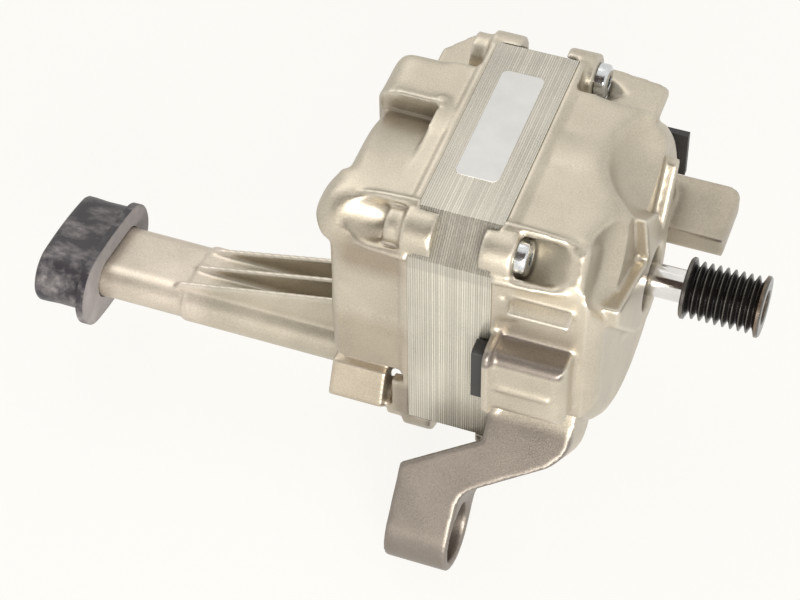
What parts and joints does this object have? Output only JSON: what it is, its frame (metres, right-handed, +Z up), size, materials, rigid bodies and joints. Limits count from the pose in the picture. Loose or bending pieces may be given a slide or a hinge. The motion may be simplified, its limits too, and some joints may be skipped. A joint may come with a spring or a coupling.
{
  "type": "washing machine motor",
  "caption": "Brushless drive motor in two cast shells round a laminated core, with a ribbed belt pulley, a long arm in a rubber boot and an eye arm.",
  "frame": {"origin": "on the shaft axis in the middle of the pulley's belt plane", "axes": "+X along the shaft out of the pulley end, +Z up out of the label face, -Y towards the plug housing and the eye arm"},
  "size_m": [0.2209, 0.1242, 0.1186],
  "materials": {
    "cast_shell": "as-cast satin with a fine grain",
    "core_steel": "stacked sheet edges",
    "white_nylon": "moulded",
    "copper_wire": "enamelled copper winding",
    "zinc_steel": "zinc plated",
    "ground_steel": "ground bright",
    "bearing_steel": "polished rings",
    "black_oxide": "black oxide, lightly oiled",
    "black_plastic": "moulded",
    "tin_pins": "tinned",
    "label_film": "blank white film",
    "boot_rubber": "worn, dusty",
    "ferrite": "sintered",
    "cage_plastic": "moulded"
  },
  "bodies": {
    "housing": {"rear_shell": "cast_shell", "front_shell": "cast_shell", "stator_core": "core_steel", "front_insulator": "white_nylon", "rear_insulator": "white_nylon", "stator_coils": "copper_wire", "housing_screws": "zinc_steel", "terminal_block": "black_plastic", "terminal_pins": "tin_pins", "rating_label": "label_film", "arm_bush": "boot_rubber", "side_clip": "black_plastic", "wave_washer": "ground_steel", "front_bearing_outer": "bearing_steel", "rear_bearing_outer": "bearing_steel", "front_bearing_shields": "zinc_steel", "rear_bearing_shields": "zinc_steel"},
    "rotor": {"shaft": "ground_steel", "rotor_core": "core_steel", "rotor_magnets": "ferrite", "rotor_end_plates": "zinc_steel", "belt_pulley": "black_oxide", "front_bearing_inner": "bearing_steel", "rear_bearing_inner": "bearing_steel"},
    "front_ball_set": {"front_bearing_balls": "bearing_steel", "front_bearing_cage": "cage_plastic"},
    "rear_ball_set": {"rear_bearing_balls": "bearing_steel", "rear_bearing_cage": "cage_plastic"}
  },
  "joints": [
    {"name": "rotor_spin", "type": "hinge", "parent": "housing", "child": "rotor", "pos_m": [0, 0, 0], "axis": [1, 0, 0], "continuous": true},
    {"name": "front_ball_set_roll", "type": "hinge", "parent": "housing", "child": "front_ball_set", "pos_m": [-0.0296, 0, 0], "axis": [1, 0, 0], "continuous": true},
    {"name": "rear_ball_set_roll", "type": "hinge", "parent": "housing", "child": "rear_ball_set", "pos_m": [-0.1016, 0, 0], "axis": [1, 0, 0], "continuous": true}
  ],
  "couplings": [
    {"joint": "front_ball_set_roll", "follows": "rotor_spin", "ratio": 0.381},
    {"joint": "rear_ball_set_roll", "follows": "rotor_spin", "ratio": 0.381}
  ]
}
